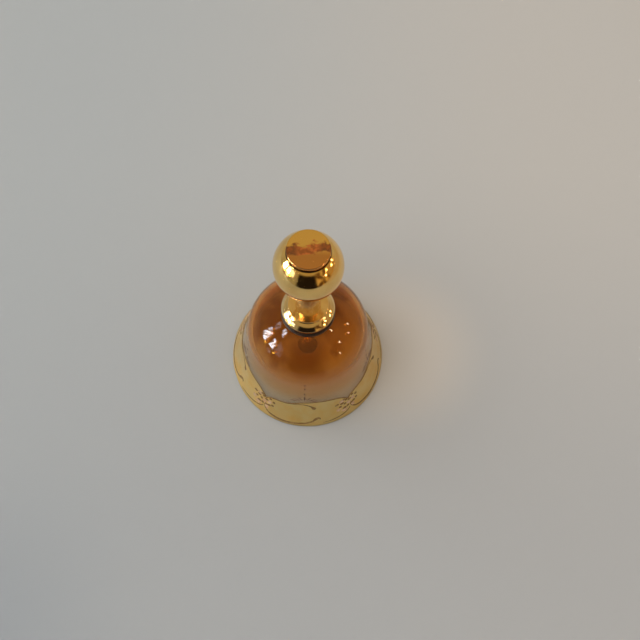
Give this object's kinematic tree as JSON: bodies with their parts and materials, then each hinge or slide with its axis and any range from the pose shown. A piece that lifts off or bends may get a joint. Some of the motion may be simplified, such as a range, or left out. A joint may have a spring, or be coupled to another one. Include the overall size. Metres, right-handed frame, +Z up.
{
  "type": "glass bell",
  "caption": "Hand bell of amber glass with a gilded, flared mouth, a stacked brass handle, and a clapper hung inside on a short chain.",
  "frame": {"origin": "centre of the mouth, on the plane the rim stands on", "axes": "+Z up along the bell's axis, from the mouth to the knob; -Y is the front, where the ornament's middle lobe is"},
  "size_m": [0.07, 0.07, 0.102],
  "materials": {
    "handle_brass": "polished, with fine handling marks",
    "amber_glass": "clear gloss, amber at the top fading to nearly clear above the mouth",
    "gilding": "soft satin gilding with fine raised ornament",
    "gasket_rubber": "matt black",
    "bush_nylon": "natural nylon",
    "plated_steel": "bright zinc plate",
    "chain_brass": "drawn wire, lightly dulled",
    "clapper_brass": "polished, with small dents from striking"
  },
  "bodies": {
    "bell": {"knob_cap": "handle_brass", "knob_ball": "handle_brass", "neck_stem": "handle_brass", "base_collar": "handle_brass", "tie_rod": "plated_steel", "outer_gasket": "gasket_rubber", "hole_bush": "bush_nylon", "glass_body": "amber_glass", "gold_band": "gilding", "inner_gasket": "gasket_rubber", "washer": "plated_steel", "hex_nut": "plated_steel", "hanger_eye": "chain_brass"},
    "link_1": {"chain_link_1": "chain_brass"},
    "link_2": {"chain_link_2": "chain_brass"},
    "link_3": {"chain_link_3": "chain_brass"},
    "link_4": {"chain_link_4": "chain_brass"},
    "link_5": {"chain_link_5": "chain_brass"},
    "clapper": {"clapper_eye": "chain_brass", "clapper_ball": "clapper_brass"}
  },
  "joints": [
    {"name": "link_1_swing", "type": "hinge", "parent": "bell", "child": "link_1", "pos_m": [0, 0, 0.0375], "axis": [1, 0, 0], "range_deg": [-45, 45]},
    {"name": "link_2_swing", "type": "hinge", "parent": "link_1", "child": "link_2", "pos_m": [0, 0, 0.03425], "axis": [0, 1, 0], "range_deg": [-45, 45]},
    {"name": "link_3_swing", "type": "hinge", "parent": "link_2", "child": "link_3", "pos_m": [0, 0, 0.0309], "axis": [-1, 0, 0], "range_deg": [-45, 45]},
    {"name": "link_4_swing", "type": "hinge", "parent": "link_3", "child": "link_4", "pos_m": [0, 0, 0.02755], "axis": [0, -1, 0], "range_deg": [-45, 45]},
    {"name": "link_5_swing", "type": "hinge", "parent": "link_4", "child": "link_5", "pos_m": [0, 0, 0.0242], "axis": [1, 0, 0], "range_deg": [-45, 45]},
    {"name": "clapper_swing", "type": "hinge", "parent": "link_5", "child": "clapper", "pos_m": [0, 0, 0.02085], "axis": [0, 1, 0], "range_deg": [-45, 45]}
  ]
}
